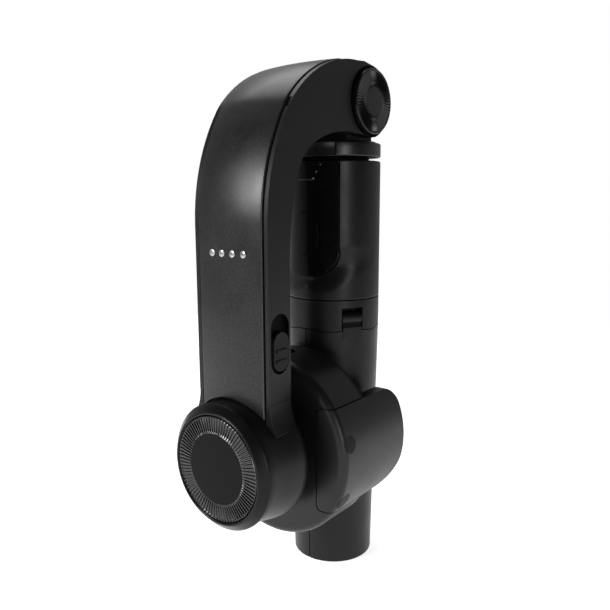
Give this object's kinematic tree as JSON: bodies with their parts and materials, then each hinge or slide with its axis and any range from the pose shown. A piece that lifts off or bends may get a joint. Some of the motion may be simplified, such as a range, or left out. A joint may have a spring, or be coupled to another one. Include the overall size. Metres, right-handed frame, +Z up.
{
  "type": "handheld phone gimbal",
  "caption": "Folding phone gimbal: ribbed motor cap and spring clamp on a hinged arm, over a telescopic handle with a lift-out remote that opens into a tripod.",
  "frame": {"origin": "middle of the foot ring of the three closed legs, on the axis of the handle", "axes": "+Z up the handle, the folded arm and motor on the -Y side, +X the side with the lock slider"},
  "size_m": [0.0634, 0.0804, 0.1826],
  "materials": {
    "shell_black": "fine satin texture",
    "cover_charcoal": "satin with a fine sparkle grain",
    "gloss_black": "polished",
    "matte_black": "matt",
    "rubber_black": "soft matt rubber",
    "motor_satin": "anodised satin",
    "steel": "brushed",
    "rod_chrome": "polished tube",
    "board_green": "circuit board",
    "cell_silver": "satin",
    "battery_wrap": "foil wrap",
    "copper": "enamelled winding"
  },
  "bodies": {
    "handle": {"handle_shell": "shell_black", "tripod_collar": "shell_black", "leg_pins": "steel", "pole_tube": "rod_chrome", "pole_end_cap": "matte_black"},
    "leg_right": {"leg_right": "shell_black", "foot_pad_right": "rubber_black"},
    "leg_rear": {"leg_rear": "shell_black", "foot_pad_rear": "rubber_black"},
    "leg_left": {"leg_left": "shell_black", "foot_pad_left": "rubber_black"},
    "remote": {"remote_front": "gloss_black", "remote_back": "matte_black", "remote_board": "board_green", "coin_cell": "cell_silver"},
    "remote_button": {"remote_button": "gloss_black"},
    "pole_1": {"pole_section_1": "rod_chrome"},
    "pole_2": {"pole_section_2": "rod_chrome"},
    "pole_3": {"pole_section_3": "rod_chrome"},
    "pole_4": {"pole_section_4": "rod_chrome"},
    "head": {"pole_section_5": "rod_chrome", "swivel_puck": "shell_black", "hinge_block": "matte_black", "hinge_pin": "steel", "friction_washers": "matte_black"},
    "arm": {"hinge_cap_right": "motor_satin", "hinge_cap_left": "motor_satin", "arm_front_cover": "cover_charcoal", "arm_screws": "steel", "arm_shell_right": "shell_black", "arm_shell_left": "shell_black", "battery": "battery_wrap", "control_board": "board_green", "motor_housing": "shell_black", "motor_stator": "copper", "motor_bearing": "steel", "motor_cap_rim": "motor_satin", "motor_cap_plate": "cover_charcoal"},
    "lock_slider": {"lock_slider": "matte_black"},
    "clamp": {"motor_shaft": "steel", "motor_rotor": "motor_satin", "clamp_body": "shell_black", "clamp_back_plate": "matte_black", "clamp_pad": "rubber_black"},
    "jaw_right": {"jaw_right": "shell_black", "jaw_pad_right": "rubber_black", "guide_rods_right": "steel", "jaw_plugs_right": "matte_black"},
    "jaw_left": {"jaw_left": "shell_black", "jaw_pad_left": "rubber_black", "guide_rods_left": "steel", "jaw_plugs_left": "matte_black"}
  },
  "joints": [
    {"name": "pole_1_slide", "type": "slide", "parent": "handle", "child": "pole_1", "axis": [0, 0, 1], "range_m": [0, 0.106]},
    {"name": "pole_2_slide", "type": "slide", "parent": "pole_1", "child": "pole_2", "axis": [0, 0, 1], "range_m": [0, 0.105]},
    {"name": "pole_3_slide", "type": "slide", "parent": "pole_2", "child": "pole_3", "axis": [0, 0, 1], "range_m": [0, 0.104]},
    {"name": "pole_4_slide", "type": "slide", "parent": "pole_3", "child": "pole_4", "axis": [0, 0, 1], "range_m": [0, 0.103]},
    {"name": "pole_5_slide", "type": "slide", "parent": "pole_4", "child": "head", "axis": [0, 0, 1], "range_m": [0, 0.102]},
    {"name": "arm_fold", "type": "hinge", "parent": "head", "child": "arm", "pos_m": [0, 0, 0.1697], "axis": [-1, 0, 0], "range_deg": [0, 180]},
    {"name": "clamp_roll", "type": "hinge", "parent": "arm", "child": "clamp", "pos_m": [0, -0.04, 0.05266], "axis": [0, -1, 0], "range_deg": [-8, 8]},
    {"name": "jaw_right_slide", "type": "slide", "parent": "clamp", "child": "jaw_right", "axis": [1, 0, 0], "range_m": [0, 0.019], "stiffness_N_per_m": 180, "springref_m": -0.03},
    {"name": "jaw_left_slide", "type": "slide", "parent": "clamp", "child": "jaw_left", "axis": [-1, 0, 0], "range_m": [0, 0.019], "stiffness_N_per_m": 180, "springref_m": -0.03},
    {"name": "lock_slider_slide", "type": "slide", "parent": "arm", "child": "lock_slider", "axis": [0, 0, 1], "range_m": [0, 0.0055]},
    {"name": "remote_lift", "type": "slide", "parent": "handle", "child": "remote", "axis": [0, -1, 0], "range_m": [0, 0.012]},
    {"name": "button_press", "type": "slide", "parent": "remote", "child": "remote_button", "axis": [0, 1, 0], "range_m": [0, 0.0008], "stiffness_N_per_m": 900, "springref_m": -0.0006},
    {"name": "leg_right_fold", "type": "hinge", "parent": "handle", "child": "leg_right", "pos_m": [0.01256, -0.00725, 0.0944], "axis": [-0.5, -0.866, 0], "range_deg": [0, 45]},
    {"name": "leg_rear_fold", "type": "hinge", "parent": "handle", "child": "leg_rear", "pos_m": [0, 0.0145, 0.0944], "axis": [1, 0, 0], "range_deg": [0, 45]},
    {"name": "leg_left_fold", "type": "hinge", "parent": "handle", "child": "leg_left", "pos_m": [-0.01256, -0.00725, 0.0944], "axis": [-0.5, 0.866, 0], "range_deg": [0, 45]}
  ],
  "couplings": [
    {"joint": "jaw_left_slide", "follows": "jaw_right_slide", "ratio": 1},
    {"joint": "leg_right_fold", "follows": "arm_fold", "ratio": 0.25},
    {"joint": "leg_rear_fold", "follows": "arm_fold", "ratio": 0.25},
    {"joint": "leg_left_fold", "follows": "arm_fold", "ratio": 0.25}
  ]
}
